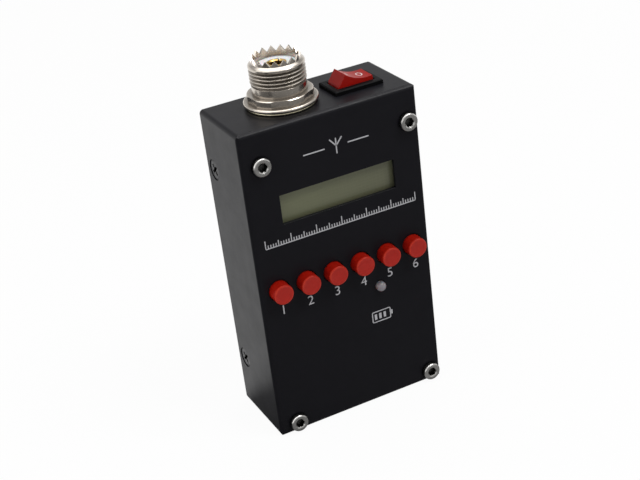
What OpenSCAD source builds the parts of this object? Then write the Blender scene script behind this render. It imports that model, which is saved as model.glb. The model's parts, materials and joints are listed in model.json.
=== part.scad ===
// Handheld antenna analyzer in a folded sheet-metal case.
// A threaded antenna socket and a rocker switch sit on top, a small display and six
// push buttons in front. +Z points to the socket, the display faces -Y, and the
// origin is the centre of the bottom face.

/* [Case] */
// Width of the case
case_w = 55; // [50:0.5:70]
// Depth of the case, front face to back face
case_d = 25.5; // [25.5:0.5:34]
// Height of the case, without the socket
case_h = 96.5; // [87:0.5:120]
// Thickness of the folded front sheet
sheet_t = 1; // [0.8:0.1:1]
// Outside radius of the front's folds
fold_r = 1.2; // [1:0.1:2]
// Thickness of the rear cover's sheet
cover_t = 1; // [0.8:0.1:1.2]
// Gap between the rear cover and the front's walls
cover_gap = 0.2; // [0.1:0.05:0.3]
// Depth of the rear cover's side flanges
flange_d = 8.5; // [8:0.5:10]

/* [Case screws] */
// Radius of all the screw threads
screw_r = 1.5; // [1.4:0.05:1.5]
// Radius of the front screws' heads
head_r = 2.7; // [2.6:0.05:2.8]
// Height of the front screws' heads
head_h = 1.8; // [1.6:0.1:2.2]
// Length of the front screws under the head
screw_l = 6; // [5:0.5:6.5]
// Distance of the left front screws from the left side
screw_left = 5.7; // [3.7:0.1:7]
// Distance of the right front screws from the right side
screw_right = 3.7; // [3.7:0.1:6]
// Height of the lower front screws
screw_low = 3.4; // [3.4:0.2:8]
// Distance of the upper front screws from the top face
screw_high = 10.1; // [9:0.1:14]
// Radius of the side screws' countersunk heads
side_head_r = 2.75; // [2.6:0.05:2.8]
// Length of the side screws
side_screw_l = 4; // [3.5:0.5:5]
// Distance of the side screws from the back face
side_back = 4.65; // [4.4:0.05:5]
// Height of the lower side screws
side_low = 17.3; // [12:0.1:25]
// Distance of the upper side screws from the top face
side_high = 16.7; // [14:0.1:25]

/* [Display] */
// Width of the display window
window_w = 36; // [30:0.5:37]
// Height of the display window
window_h = 8.8; // [7:0.2:9.6]
// Middle of the window, across
window_x = 0.4; // [-1:0.2:1]
// Distance of the window's middle from the top face
window_down = 24.7; // [24.4:0.1:27]
// Width of the display glass
glass_w = 41; // [40:0.5:42]
// Height of the display glass
glass_h = 14.5; // [13:0.5:15]
// Thickness of the display glass
glass_t = 1.8; // [1.6:0.1:2]
// Thickness of the back light
light_t = 2; // [1.8:0.1:2.2]
// Thickness of the display board
lcd_board_t = 0.8; // [0.8:0.1:1]

/* [Buttons] */
// Distance of the row of buttons from the top face
button_down = 48.6; // [47.5:0.1:50]
// Middle of the row of buttons, across
button_x = 0.1; // [-1:0.1:1]
// Distance of the outermost buttons from the sides
button_side = 5.75; // [5.6:0.05:6.5]
// Radius of a button cap
cap_r = 3; // [2.6:0.1:3.2]
// How far a cap stands out of the front face
cap_out = 3.5; // [2.5:0.1:4.5]
// Gap between a cap and its hole
cap_gap = 0.3; // [0.2:0.05:0.4]
// Travel of a button
press_travel = 0.25; // [0.2:0.05:0.3]
// Side of a tactile switch
tact_w = 6; // [5.8:0.1:6.2]
// Height of a tactile switch without its stem
tact_h = 3.5; // [3.2:0.1:3.8]
// Radius of a switch stem
stem_r = 1.75; // [1.5:0.05:1.9]
// Radius of the charge lamp
lamp_r = 1.5; // [1.4:0.1:1.6]
// Place of the charge lamp, across
lamp_x = 10; // [8:0.2:12]
// Distance of the charge lamp from the top face
lamp_down = 58.3; // [57.5:0.1:62]
// How far the lamp's dome stands out of the front face
lamp_out = 2; // [0.6:0.1:2.4]

/* [Board] */
// Length of the spacer posts between the front sheet and the board
post_l = 7; // [6.8:0.1:7.6]
// Radius of a spacer post
post_r = 2.25; // [2.1:0.05:2.25]
// Thickness of the main board
board_t = 1.6; // [1.4:0.1:1.8]
// Gap between the board and the case walls
board_gap = 0.3; // [0.2:0.05:0.4]

/* [Antenna socket] */
// Place of the socket's axis, across
socket_x = -7.4; // [-8:0.1:-6.5]
// Place of the socket's axis, front to back
socket_y = 1; // [0.8:0.1:1.5]
// Outside radius of the socket's thread
thread_r = 7.94; // [7.8:0.02:8]
// Pitch of the thread
thread_pitch = 1.058; // [1:0.002:1.1]
// Full turns of thread above the nut
thread_turns = 4; // [3:1:5]
// Height of the toothed rim's tips above the case
crown_top = 14.6; // [14.2:0.1:15]
// Depth of the notches in the toothed rim
tooth_h = 1.6; // [1.2:0.1:1.8]
// Number of teeth on the rim
tooth_count = 17; // [12:1:20]
// Radius of the white insulator
insulator_r = 6.1; // [5.8:0.1:6.2]
// Height of the insulator's face above the case
insulator_top = 11.6; // [10:0.1:11.9]
// Outside radius of the centre contact
contact_r = 2.9; // [2.7:0.1:3.1]
// Bore radius of the centre contact
contact_bore_r = 2; // [1.9:0.05:2.1]
// Depth of the centre contact's bore
contact_bore_d = 11.5; // [10:0.5:13]
// Across flats of the socket's nut
nut_af = 18; // [17.6:0.1:18.4]
// Radius to which the nut's corners are turned down
nut_r = 9.35; // [9.2:0.05:9.6]
// Thickness of the socket's nut
nut_t = 2.1; // [1.8:0.1:2.4]
// Outside radius of the bright washer
washer_r = 10.6; // [10:0.1:11]
// Thickness of the bright washer
washer_t = 1.1; // [0.8:0.1:1.3]
// Thickness of the lock washer under it
lock_t = 0.8; // [0.6:0.05:0.9]
// Thickness of the earth tag
tag_t = 0.4; // [0.3:0.05:0.5]
// Radius of the socket's flange inside the case
flange_r = 9.2; // [9:0.1:9.4]
// Thickness of the socket's flange inside the case
flange_t = 2.2; // [1.8:0.1:2.4]

/* [Rocker switch] */
// Place of the switch, across
switch_x = 13.7; // [12.6:0.1:14]
// Place of the switch, front to back
switch_y = -0.6; // [-1.2:0.1:-0.2]
// Length of the switch's bezel
bezel_l = 15; // [14.6:0.1:16]
// Width of the switch's bezel
bezel_w = 10.5; // [10.2:0.1:11]
// Height of the bezel above the case
bezel_h = 1.3; // [1.2:0.1:1.8]
// Length of the switch's body
switch_l = 13; // [12.8:0.1:13.4]
// Width of the switch's body
switch_w = 8.6; // [8.4:0.1:9]
// Depth of the switch's body below the case's top face
switch_d = 10.5; // [10:0.1:11]
// Width of the rocker
rocker_w = 6.7; // [6.3:0.1:6.8]
// Tilt of the rocker to each side
rocker_tilt = 15; // [10:1:15]
// Length of the terminals below the switch's body
terminal_l = 7; // [5:0.5:7.5]

/* [Battery] */
// Width of the lithium cell
cell_w = 34; // [28:0.5:34]
// Height of the lithium cell
cell_h = 50; // [40:0.5:52]
// Thickness of the lithium cell
cell_t = 9; // [6:0.5:9]
// Distance of the cell's upper end from the top face
cell_down = 30.5; // [29.5:0.5:32]
// Thickness of the foam tape behind the cell
tape_t = 0.5; // [0.4:0.1:0.8]

/* [Charging socket] */
// Place of the charging socket, across
usb_x = 8; // [7:0.5:12]
// Width of the charging socket
usb_w = 7.7; // [7.5:0.1:8]
// Thickness of the charging socket
usb_t = 3.95; // [3.8:0.05:4.1]
// Depth of the charging socket
usb_d = 9.2; // [8:0.2:10]

/* [Hidden] */
$fn = 64;

button_count = 6;
skin = 0.05; // clearance of a thread, a stop or a loose fit
proud = 0.01; // what a cutter stands past a face
front_y = -case_d / 2;
back_y = case_d / 2;
inner_y = front_y + sheet_t;
top_in = case_h - sheet_t;
cover_y = back_y - cover_t;
window_z = case_h - window_down;
button_z = case_h - button_down;
lamp_z = case_h - lamp_down;
cover_w = case_w - 2 * (sheet_t + cover_gap);
cover_low = sheet_t + cover_gap;
cover_fold_r = cover_t;
collar_r = screw_r + 0.8;
collar_l = 1.2;

// The screws
screw_xs = [screw_left - case_w / 2, case_w / 2 - screw_right];
screw_zs = [screw_low, case_h - screw_high];
screw_hole_r = screw_r + 0.15;
bore_r = screw_r + skin;
hex_af = 2.5;
hex_d = 1.4;
hex_bevel = 0.25;
hex_flare = 0.4;
rim_r = 0.5;
side_zs = [side_low, case_h - side_high];
side_y = back_y - side_back;
side_sink = 0.2;
side_mouth = 0.4; // from a side screw's head out to the rim of its recess
cone_l = sheet_t + cover_gap - side_sink;
cross_l = 3.6;
cross_t = 0.85;
cross_d = 0.8;
cross_turn = 40;

// The antenna socket, with heights counted from the case's top face
hole_gap = 0.1;
thread_d = 0.62 * thread_pitch; // depth of the thread
root_r = thread_r - thread_d;
seat_r = thread_r - thread_d / 3; // plain seat at the mean of the threads that mesh there
nut_low = lock_t + washer_t;
nut_top = nut_low + nut_t;
crown_in = 0.9; // from the threads in to the toothed rim
crown_r = thread_r - crown_in;
crown_low = crown_top - tooth_h;
crown_lip = 0.45;
shoulder_gap = 0.1; // from the shoulder up to the notches
shoulder_h = 0.8;
shoulder_in = 0.22;
shoulder_z = crown_low - shoulder_gap - shoulder_h;
land_h = 0.6; // plain edge above the threads
crest = 0.14 * thread_pitch;
flank = (thread_pitch - crest) / 2;
thread_to = shoulder_z - land_h - flank;
thread_from = thread_to - thread_turns * thread_pitch;
relief_l = 0.35;
relief_from = thread_from - relief_l;
flange_top = -sheet_t - tag_t;
flange_low = flange_top - flange_t;
barrel_r = 6;
barrel_l = 4.4;
barrel_low = flange_low - barrel_l;
step_z = -3;
rear_l = 2.5;
rear_d = rear_l - barrel_low;
rear_r = 4;
cup_r = 1.6;
cup_l = 5;
cup_low = -rear_d - cup_l;
cup_bore_r = 1;
cup_bore_d = 3;
contact_out = 0.4;
contact_top = insulator_top + contact_out;
contact_floor = 1;
contact_low = contact_top - contact_bore_d - contact_floor;
contact_bevel = 0.3;
slit_w = 0.4;
slit_d = 6;
tooth_step = 360 / tooth_count;
tooth_turn = 20.9;
nut_turn = -25.5;
nut_edge = 0.2;
washer_hole_r = thread_r + 0.1;
lock_inset = 0.6;
tag_w = 3;
tag_l = 5;

// The main board and what lies on it
board_y = inner_y + post_l;
board_back = board_y + board_t;
board_x = case_w / 2 - sheet_t - board_gap;
board_low = sheet_t + board_gap;
board_top = top_in - board_gap;
peg_r = 1.7;
notch_gap = 1;
notch_l = socket_x - flange_r - notch_gap;
notch_r = switch_x + switch_l / 2 + notch_gap;
notch_z = case_h - max(switch_d, rear_d) - notch_gap;
pin_hole_r = 0.45;

// The display stack, counted from the front sheet
lcd_gap = 0.2;
lip_t = 0.6;
lip_w = 1.2;
frame_wall = 1;
pocket_gap = 0.1;
frame_y = inner_y + lcd_gap;
glass_y = frame_y + lip_t;
light_y = glass_y + glass_t;
lcd_board_y = light_y + light_t;
lcd_back = lcd_board_y + lcd_board_t;
frame_w = glass_w + 2 * (pocket_gap + frame_wall);
frame_h = glass_h + 2 * (pocket_gap + frame_wall);
lcd_side = 0.75; // what the display board stands past its frame at each side
lcd_over = 0.75;
lcd_under = 3.75;
lcd_board_w = frame_w + 2 * lcd_side;
lcd_board_h = frame_h + lcd_over + lcd_under;
lcd_board_z = window_z + (lcd_over - lcd_under) / 2;
pin_count = 16;
pin_pitch = 2.54;
pin_w = 0.6;
pin_inset = 1.4;
pin_z = lcd_board_z - lcd_board_h / 2 + pin_inset;
pin_tail = 0.8;
pin_xs = [for (i = [0:pin_count - 1]) window_x + (i - (pin_count - 1) / 2) * pin_pitch];

// The buttons, with heights counted from the board towards the front
button_pitch = (case_w - 2 * button_side) / (button_count - 1);
button_first = button_x - (button_count - 1) / 2 * button_pitch;
button_xs = [for (i = [0:button_count - 1]) button_first + i * button_pitch];
cover_plate_t = 0.3;
well_r = 2.5;
well_floor = 1;
stem_rim_r = 2.2;
stem_rim_t = 0.7;
cap_roof = 2.5; // thickness of a cap above its stem
stem_top = post_l + sheet_t + cap_out - cap_roof;
stem_rim_top = tact_h - cover_plate_t - skin;
stem_low = stem_rim_top - stem_rim_t;
dome_gap = 0.15;
dome_h = stem_low - press_travel - dome_gap - well_floor;
dome_t = 0.15;
dome_rim_r = well_r - 0.1;
dome_foot = 0.4;
dome_crown_r = 0.8;
cap_top = post_l + sheet_t + cap_out;
cap_lift = 1.2; // room under a pressed cap
cap_low = tact_h + press_travel + cap_lift;
collar_out = 0.6;
cap_collar_t = 0.8;
cap_edge_r = 0.45;
cap_dish = 0.15;
dish_w = cap_r - cap_edge_r - 0.3;
dish_r = (pow(dish_w, 2) + pow(cap_dish, 2)) / (2 * cap_dish);
dish_a = asin(dish_w / dish_r);

// The charge lamp
lamp_l = 5.3;
lamp_rim_t = 1;
lamp_rim = 0.4;
lamp_gap = 0.1;
lamp_tip_y = front_y - lamp_out;
lamp_base_y = lamp_tip_y + lamp_l;
lamp_lead_w = 0.5;
lamp_lead_gap = 2.54;

// The rocker switch
pivot_h = -0.5;
pivot_z = case_h + pivot_h;
pin_r = 1;
pin_l = 0.6;
window_l = 12;
slot_w = rocker_w + 0.4;
switch_floor = -6;
ridge_x = 4.3;
ridge_z = 4.3;
sag = 0.9;
sweep_r = 5.7;
skirt_x = 3.8;
skirt_z = -2.2;
chamfer = 0.3;
blade_w = 2.8;
blade_t = 0.5;
blade_x = 3.5;
blade_head = 0.3;
plunger_r = 0.8;
plunger_top = -0.4;
plunger_low = -4.3;
lever_z = -5;
lever_l = 8.4;
lever_w = 2.6;
lever_t = 0.3;
lever_turn = 6;
fulcrum_w = 0.8;
fulcrum_r = 0.35;
fulcrum_gap = 0.1;

// The battery
cell_back = cover_y - tape_t;
cell_y = cell_back - cell_t;
cell_z = case_h - cell_down - cell_h;
cell_r = 2.5;
tape_inset = 5;
guard_h = 3.5;
guard_t = 3;
guard_w = 24;
guard_y = cell_back - cell_t / 2;
plug_side = 6.8; // from the board's edge
plug_x = plug_side - board_x;
plug_down = 28.5;
plug_z = case_h - plug_down;
plug_w = 4.8;
plug_t = 3.6;
plug_h = 4.5;
header_w = 6;
header_t = 4.6;
header_h = 5;
plug_y = board_back + header_t / 2;

// The charging socket
usb_wall = 0.3;
usb_low = 0.3;
usb_y = board_back + usb_t / 2;
usb_gap = 0.3;
usb_corner_r = 0.6;
tongue_w = 5;
tongue_t = 0.7;
tongue_d = 6;
usb_back_t = 2;

// Parts on the board's rear face: [x, z, width, height, thickness]
controller_side = 10;
controller_t = 1.2;
controller_down = 58.5;
controller_at = [3, case_h - controller_down, controller_side, controller_side, controller_t];
signal_w = 10.2;
signal_h = 5.3;
signal_t = 1.8;
signal_down = 41.5;
signal_chip_at = [4, case_h - signal_down, signal_w, signal_h, signal_t];
charger_w = 5;
charger_h = 4;
charger_t = 1.6;
charger_up = 20;
charger_at = [usb_x, charger_up, charger_w, charger_h, charger_t];
clock_w = 7;
clock_h = 5;
clock_t = 1.8;
clock_down = 40.5;
clock_at = [-12, case_h - clock_down, clock_w, clock_h, clock_t];
coil_side = 3;
coil_t = 2.2;
coil_step = 4;
coil_x = 16;
coils_at = [
    for (k = [0:2]) [coil_x + (k - 1) * coil_step, clock_at[1], coil_side, coil_side, coil_t]
];
capacitor_w = 2;
capacitor_h = 1.2;
capacitor_t = 0.9;
capacitor_step = 3;
capacitor_x = -12.5;
capacitor_down = 50.5;
capacitors_at = [
    for (k = [0:5])
        [capacitor_x + (k - 2.5) * capacitor_step, case_h - capacitor_down, capacitor_w,
            capacitor_h, capacitor_t]
];
resistor_w = 1.6;
resistor_h = 3.2;
resistor_t = 0.6;
resistor_step = 4;
resistor_x = -4;
resistor_down = 26.5;
resistors_at = [
    for (k = [0:4])
        [resistor_x + (k - 2) * resistor_step, case_h - resistor_down, resistor_w, resistor_h,
            resistor_t]
];
leg_w = 0.35;
leg_pitch = 0.8;
leg_l = 1;
leg_t = 0.4;

// The routes of the leads, down from the top face: round numbers, chosen by hand
lead_r = 0.6;
lead_sides = 8;
signal_route = [
    [-7.4, 1, -15.5], [-7.4, 1, -16.5], [-7.4, 1, -17.5], [-7.5, 1.4, -18.9], [-7.5, 1.6, -20.5],
    [-7.5, 1, -21.7], [-7.5, -0.4, -22.2], [-7.5, -2, -22.3], [-7.5, -3.15, -22.3]
];
earth_route = [
    [-19.2, 1, -1.4], [-19.2, 1, -2.5], [-19.3, 1, -3.5], [-19.8, 0.8, -4.9], [-20.2, 0.2, -5.9],
    [-20.4, -1, -6.4], [-20.4, -2, -6.5], [-20.4, -3.15, -6.5]
];
switch_route = [
    [0, 0, -17.5], [0, 0, -18.5], [0, 0.4, -19.5], [0, 1.4, -20.7], [0, 2, -22.1],
    [0, 1.8, -23.5], [0, 0.9, -24.3], [0, -0.5, -24.5], [0, -2.55, -24.5]
];
battery_route = [
    [-20, -1.6, -24], [-20, -1.6, -22.7], [-19.7, -1.3, -21.3], [-18.6, -0.4, -20],
    [-16.8, 1, -19.4], [-14.8, 2.5, -19.6], [-12.6, 4.2, -20.8], [-10.6, 5.4, -22.7],
    [-9.3, 5.9, -24.5], [-9, 6, -25.9], [-9, 6, -27]
];
battery_step = [-1.2, 1.6, 0];

function unit(v) = v / norm(v);

// Direction of a route at point i
function heading(p, i) = unit(p[min(i + 1, len(p) - 1)] - p[max(i - 1, 0)]);

// Side vectors carried along a route, so that a tube on it doesn't twist
function sides(p, i, n) =
    i == len(p) ? [] :
    let (t = heading(p, i), m = unit(n - (n * t) * t))
    concat([m], sides(p, i + 1, m));

// Points of an arc about [x, y], in n steps
function arc(x, y, r, a0, a1, n) =
    [for (i = [0:n]) let (a = a0 + (a1 - a0) * i / n) [x + r * cos(a), y + r * sin(a)]];

// A round lead along a route, with flat ends
module tube(route, r) {
    across = sides(route, 0, [1, 0, 0]);
    n = lead_sides;
    last = len(route) - 1;
    points = [
        for (i = [0:last], k = [0:n - 1])
            let (a = 360 * k / n, m = across[i])
            route[i] + r * (cos(a) * m + sin(a) * cross(heading(route, i), m))
    ];
    walls = [
        for (i = [0:last - 1], k = [0:n - 1])
            let (a = i * n + k, b = i * n + (k + 1) % n)
            each [[a, a + n, b], [b, a + n, b + n]]
    ];
    low_end = [for (k = [0:n - 1]) k];
    high_end = [for (k = [n - 1:-1:0]) last * n + k];
    polyhedron(points = points, faces = concat(walls, [low_end, high_end]), convexity = 6);
}

// Rectangle with round corners
module rounded_rect(w, h, r) {
    square([w - 2 * r, h], center = true);
    square([w, h - 2 * r], center = true);
    for (x = [-1, 1], y = [-1, 1])
        translate([x * (w / 2 - r), y * (h / 2 - r)]) circle(r = r);
}

// Box given by its middle across, its front, its low end and its size
module block(x, y, z, w, d, h) {
    translate([x - w / 2, y, z]) cube([w, d, h]);
}

// Children are built up from a plane that faces the front, at x and z
module facing_front(x, y, z) {
    translate([x, y, z]) rotate([90, 0, 0]) children();
}

// Children are built up from the board's front face, at x and z
module on_board(x, z) {
    facing_front(x, board_y, z) children();
}

// Children are built up from the case's top face, on the socket's axis
module on_socket() {
    translate([socket_x, socket_y, case_h]) children();
}

// Children are built on the rocker switch, from the case's top face
module on_switch() {
    translate([switch_x, switch_y, case_h]) children();
}

// Children at each front screw, built up from the front face
module each_front_screw() {
    for (x = screw_xs, z = screw_zs) facing_front(x, front_y, z) children();
}

// Children at each side screw, built outward from the side's face
module each_side_screw() {
    for (s = [-1, 1], z = side_zs)
        translate([s * case_w / 2, side_y, z]) rotate([0, 90 * s, 0]) children();
}

// Outside of the folded front: three outlines crossed, square at the back
module case_block() {
    intersection() {
        linear_extrude(case_h) {
            rounded_rect(case_w, case_d, fold_r);
            translate([-case_w / 2, 0]) square([case_w, back_y]);
        }
        rotate([90, 0, 90]) linear_extrude(case_w, center = true) {
            translate([0, case_h / 2]) rounded_rect(case_d, case_h, fold_r);
            square([back_y, case_h]);
        }
        translate([0, 0, case_h / 2]) rotate([90, 0, 0])
            linear_extrude(case_d, center = true) rounded_rect(case_w, case_h, fold_r);
    }
}

module front_shell() {
    color([0.09, 0.09, 0.1])
    difference() {
        case_block();
        block(0, inner_y, sheet_t, case_w - 2 * sheet_t, case_d, case_h - 2 * sheet_t);
        block(window_x, front_y - 1, window_z - window_h / 2, window_w, sheet_t + 2, window_h);
        for (x = button_xs)
            facing_front(x, inner_y + proud, button_z)
                cylinder(r = cap_r + cap_gap, h = sheet_t + 1);
        facing_front(lamp_x, inner_y + proud, lamp_z) cylinder(r = lamp_r + lamp_gap, h = sheet_t + 1);
        each_front_screw() translate([0, 0, -sheet_t - 1]) cylinder(r = screw_hole_r, h = sheet_t + 2);
        each_side_screw() {
            translate([0, 0, -sheet_t - proud]) side_cone(sheet_t + proud - side_sink, skin);
            translate([0, 0, -side_sink - proud]) cylinder(r = side_head_r + side_mouth, h = 1);
        }
        on_socket() translate([0, 0, -sheet_t - 1]) cylinder(r = thread_r + hole_gap, h = sheet_t + 2);
        on_switch() translate([0, 0, -sheet_t / 2])
            cube([switch_l + hole_gap * 2, switch_w + hole_gap * 2, sheet_t + 2], center = true);
        translate([usb_x, usb_y, 0])
            linear_extrude(sheet_t * 2 + 1, center = true)
                rounded_rect(usb_w + 2 * usb_gap, usb_t + 2 * usb_gap, usb_corner_r);
    }
}

// The cone of a countersunk head, from l below the face up to the face, wider by gap
module side_cone(l, gap) {
    tip_r = side_head_r - l + gap;
    cylinder(r1 = tip_r, r2 = side_head_r + gap, h = l);
}

// The rear cover lies inside the front's back edges, and its flanges take the side screws
module rear_cover() {
    outline_d = flange_d * 2;
    color([0.11, 0.11, 0.12])
    difference() {
        union() {
            intersection() {
                translate([0, back_y - outline_d / 2, cover_low])
                    linear_extrude(case_h - 2 * cover_low)
                        difference() {
                            rounded_rect(cover_w, outline_d, cover_fold_r);
                            translate([0, -cover_t])
                                square([cover_w - 2 * cover_t, outline_d], center = true);
                        }
                block(0, back_y - flange_d, 0, case_w, flange_d, case_h);
            }
            each_side_screw() translate([0, 0, -sheet_t - cover_gap - cover_t - collar_l])
                cylinder(r = collar_r, h = collar_l + cover_t / 2);
        }
        each_side_screw() translate([0, 0, -sheet_t - cover_gap - cover_t - collar_l - 1])
            cylinder(r = bore_r, h = collar_l + cover_t + cover_gap + sheet_t + 1);
    }
}

// Round-edged head with a hexagon recess
module front_screws() {
    color([0.78, 0.78, 0.76])
    each_front_screw() {
        difference() {
            rotate_extrude()
                polygon(concat([[0, 0], [head_r, 0]],
                    arc(head_r - rim_r, head_h - rim_r, rim_r, 0, 90, 6), [[0, head_h]]));
            translate([0, 0, head_h - hex_d])
                cylinder(r = hex_af / sqrt(3), h = hex_d + 1, $fn = 6);
            translate([0, 0, head_h - hex_bevel])
                cylinder(r1 = hex_af / 2, r2 = hex_af / 2 + hex_flare, h = hex_bevel + proud);
        }
        translate([0, 0, -screw_l]) cylinder(r = screw_r, h = screw_l);
    }
}

// Countersunk head with a cross recess
module side_screws() {
    color([0.07, 0.07, 0.07])
    each_side_screw() {
        difference() {
            translate([0, 0, -side_sink - cone_l]) side_cone(cone_l, 0);
            for (a = [0, 90])
                rotate([0, 0, a + cross_turn]) translate([0, 0, 0.5 - side_sink - cross_d])
                    cube([cross_l, cross_t, 1], center = true);
        }
        translate([0, 0, -side_screw_l])
            cylinder(r = screw_r, h = side_screw_l - side_sink - cone_l);
    }
}

// Tapped posts, swaged into the board
module board_posts() {
    color([0.75, 0.72, 0.6])
    for (x = screw_xs, z = screw_zs)
        on_board(x, z)
            difference() {
                union() {
                    cylinder(r = post_r, h = post_l);
                    translate([0, 0, -board_t]) cylinder(r = peg_r, h = board_t + 1);
                }
                translate([0, 0, post_l - screw_l]) cylinder(r = bore_r, h = screw_l + 1);
            }
}

module main_board() {
    color([0.05, 0.3, 0.12])
    difference() {
        block(0, board_y, board_low, 2 * board_x, board_t, board_top - board_low);
        translate([notch_l, board_y - 1, notch_z]) cube([notch_r - notch_l, board_t + 2, case_h]);
        for (x = screw_xs, z = screw_zs)
            on_board(x, z) translate([0, 0, -board_t - 1]) cylinder(r = peg_r, h = board_t + 2);
        for (x = pin_xs)
            on_board(x, pin_z) translate([0, 0, -board_t - 1])
                cylinder(r = pin_hole_r, h = board_t + 2, $fn = 24);
        for (s = [-1, 1])
            on_board(lamp_x + s * lamp_lead_gap / 2, lamp_z) translate([0, 0, -board_t - 1])
                cylinder(r = pin_hole_r, h = board_t + 2, $fn = 24);
    }
}

// Black frame with a lip round the glass and a pocket for glass and back light
module lcd_frame() {
    color([0.06, 0.06, 0.06])
    difference() {
        block(window_x, frame_y, window_z - frame_h / 2, frame_w, lcd_board_y - frame_y, frame_h);
        block(window_x, glass_y, window_z - glass_h / 2 - pocket_gap,
            glass_w + 2 * pocket_gap, lcd_back - glass_y, glass_h + 2 * pocket_gap);
        block(window_x, frame_y - 1, window_z - glass_h / 2 + lip_w,
            glass_w - 2 * lip_w, lip_t + 2, glass_h - 2 * lip_w);
    }
}

module lcd_glass() {
    color([0.52, 0.55, 0.4])
    block(window_x, glass_y, window_z - glass_h / 2, glass_w, glass_t, glass_h);
}

module lcd_light() {
    color([0.92, 0.92, 0.88])
    block(window_x, light_y, window_z - glass_h / 2, glass_w, light_t, glass_h);
}

module lcd_board() {
    color([0.06, 0.28, 0.14])
    difference() {
        block(window_x, lcd_board_y, lcd_board_z - lcd_board_h / 2,
            lcd_board_w, lcd_board_t, lcd_board_h);
        for (x = pin_xs)
            facing_front(x, lcd_back + 1, pin_z)
                cylinder(r = pin_hole_r, h = lcd_board_t + 2, $fn = 24);
    }
}

// Plastic strip of the pin header, between the two boards
module lcd_header() {
    color([0.08, 0.08, 0.08])
    difference() {
        block(window_x, lcd_back, pin_z - pin_pitch / 2,
            pin_count * pin_pitch, board_y - lcd_back, pin_pitch);
        for (x = pin_xs)
            block(x, lcd_back - 1, pin_z - pin_w / 2, pin_w, post_l, pin_w);
    }
}

module lcd_pins() {
    color([0.8, 0.65, 0.3])
    for (x = pin_xs)
        block(x, lcd_board_y, pin_z - pin_w / 2, pin_w, board_back + pin_tail - lcd_board_y, pin_w);
}

module tact_bases() {
    color([0.1, 0.1, 0.1])
    for (x = button_xs)
        on_board(x, button_z)
            difference() {
                translate([-tact_w / 2, -tact_w / 2, 0]) cube([tact_w, tact_w, tact_h - cover_plate_t]);
                translate([0, 0, well_floor]) cylinder(r = well_r, h = tact_h);
            }
}

module tact_covers() {
    color([0.75, 0.75, 0.74])
    for (x = button_xs)
        on_board(x, button_z)
            difference() {
                translate([-tact_w / 2, -tact_w / 2, tact_h - cover_plate_t])
                    cube([tact_w, tact_w, cover_plate_t]);
                cylinder(r = stem_r + 0.1, h = tact_h + 1);
            }
}

// Snap domes, drawn as shallow cones that stay under the pressed stems
module tact_domes() {
    color([0.8, 0.8, 0.78])
    for (x = button_xs)
        on_board(x, button_z) translate([0, 0, well_floor])
            rotate_extrude()
                polygon([[0, dome_h - dome_t], [dome_rim_r - dome_foot, 0], [dome_rim_r, 0],
                    [dome_crown_r, dome_h], [0, dome_h]]);
}

module tact_stem(i) {
    color([0.12, 0.12, 0.12])
    on_board(button_xs[i], button_z) {
        translate([0, 0, stem_low]) cylinder(r = stem_rim_r, h = stem_rim_t);
        translate([0, 0, stem_low]) cylinder(r = stem_r, h = stem_top - stem_low);
    }
}

// Round cap with a soft edge, a faint dish, and a collar behind the front sheet
module button_cap(i) {
    color([0.85, 0.14, 0.08])
    on_board(button_xs[i], button_z)
        rotate_extrude()
            polygon(concat(
                [[0, stem_top], [stem_r, stem_top], [stem_r, cap_low], [cap_r + collar_out, cap_low],
                    [cap_r + collar_out, cap_low + cap_collar_t], [cap_r, cap_low + cap_collar_t]],
                arc(cap_r - cap_edge_r, cap_top - cap_edge_r, cap_edge_r, 0, 90, 6),
                arc(0, cap_top - cap_dish + dish_r, dish_r, -90 + dish_a, -90, 6)));
}

module charge_lamp() {
    color([0.62, 0.62, 0.62])
    facing_front(lamp_x, lamp_base_y, lamp_z)
        rotate_extrude()
            polygon(concat([[0, 0], [lamp_r + lamp_rim, 0], [lamp_r + lamp_rim, lamp_rim_t],
                [lamp_r, lamp_rim_t]], arc(0, lamp_l - lamp_r, lamp_r, 0, 90, 10)));
}

module lamp_leads() {
    color([0.75, 0.75, 0.75])
    for (s = [-1, 1])
        block(lamp_x + s * lamp_lead_gap / 2, lamp_base_y, lamp_z - lamp_lead_w / 2,
            lamp_lead_w, board_back + pin_tail - lamp_base_y, lamp_lead_w);
}

// Threaded body: flange and barrel inside the case, thread and toothed rim outside
module socket_body() {
    threads = [
        for (i = [0:thread_turns - 1])
            let (z = thread_from + i * thread_pitch)
            each [[root_r, z], [thread_r, z + flank], [thread_r, z + flank + crest]]
    ];
    color([0.78, 0.76, 0.7])
    on_socket()
        difference() {
            rotate_extrude()
                polygon(concat(
                    [[rear_r, barrel_low], [barrel_r, barrel_low], [barrel_r, flange_low],
                        [flange_r, flange_low], [flange_r, flange_top], [seat_r, flange_top],
                        [seat_r, relief_from], [root_r, relief_from]],
                    threads,
                    [[root_r, thread_to], [thread_r, thread_to + flank], [thread_r, shoulder_z],
                        [thread_r - shoulder_in, shoulder_z + 0.4 * shoulder_h],
                        [crown_r, shoulder_z + shoulder_h],
                        [crown_r, crown_top], [crown_r - crown_lip, crown_top],
                        [insulator_r, insulator_top + 0.2], [insulator_r, step_z], [rear_r, step_z]]));
            for (k = [0:tooth_count - 1])
                rotate([0, 0, tooth_turn + k * tooth_step]) tooth_notch();
        }
}

// One notch of the toothed rim: a V prism along a radius
module tooth_notch() {
    half = (crown_r - crown_lip / 2) * sin(tooth_step / 2);
    rise = tooth_h + 0.5;
    translate([insulator_r - 1, 0, 0]) rotate([90, 0, 90])
        linear_extrude(thread_r - insulator_r + 2)
        polygon([[0, crown_low], [half * rise / tooth_h, crown_low + rise],
            [-half * rise / tooth_h, crown_low + rise]]);
}

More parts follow.
